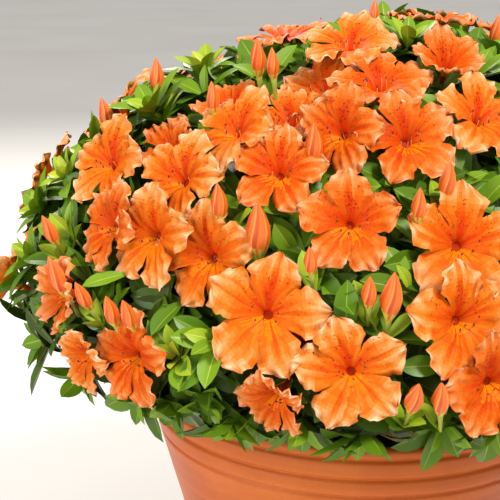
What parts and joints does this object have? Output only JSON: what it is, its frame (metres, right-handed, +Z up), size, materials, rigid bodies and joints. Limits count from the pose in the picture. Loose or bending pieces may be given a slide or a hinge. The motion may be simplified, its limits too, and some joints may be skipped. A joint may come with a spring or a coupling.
{
  "type": "azalea shrub in planter",
  "caption": "Low domed azalea in bloom, on a short forked trunk in a round tapered terracotta planter with turned grooves under its rim",
  "frame": {"origin": "centre of the planter's flat underside", "axes": "+Z up; -Y towards the side seen in the picture; +X to that side's right"},
  "size_m": [0.552, 0.5011, 0.5257],
  "materials": {
    "terracotta": "matt fired clay",
    "soil": "rough and dark",
    "bark": "rough",
    "foliage": "satin leaves and soft petals"
  },
  "bodies": {
    "root": {"bough_lower_back_left": "bark", "bough_lower_back_right": "bark", "bough_lower_front": "bark", "bough_lower_front_left": "bark", "bough_lower_front_right": "bark", "bough_lower_left": "bark", "bough_lower_right": "bark", "bough_top": "bark", "bough_upper_back_left": "bark", "bough_upper_back_right": "bark", "bough_upper_front": "bark", "bough_upper_left": "bark", "bough_upper_right": "bark", "foliage_lower_back_left": "foliage", "foliage_lower_back_right": "foliage", "foliage_lower_front": "foliage", "foliage_lower_front_left": "foliage", "foliage_lower_front_right": "foliage", "foliage_lower_left": "foliage", "foliage_lower_right": "foliage", "foliage_top": "foliage", "foliage_upper_back_left": "foliage", "foliage_upper_back_right": "foliage", "foliage_upper_front": "foliage", "foliage_upper_left": "foliage", "foliage_upper_right": "foliage", "pot": "terracotta", "soil": "soil", "trunk": "bark"}
  },
  "joints": []
}
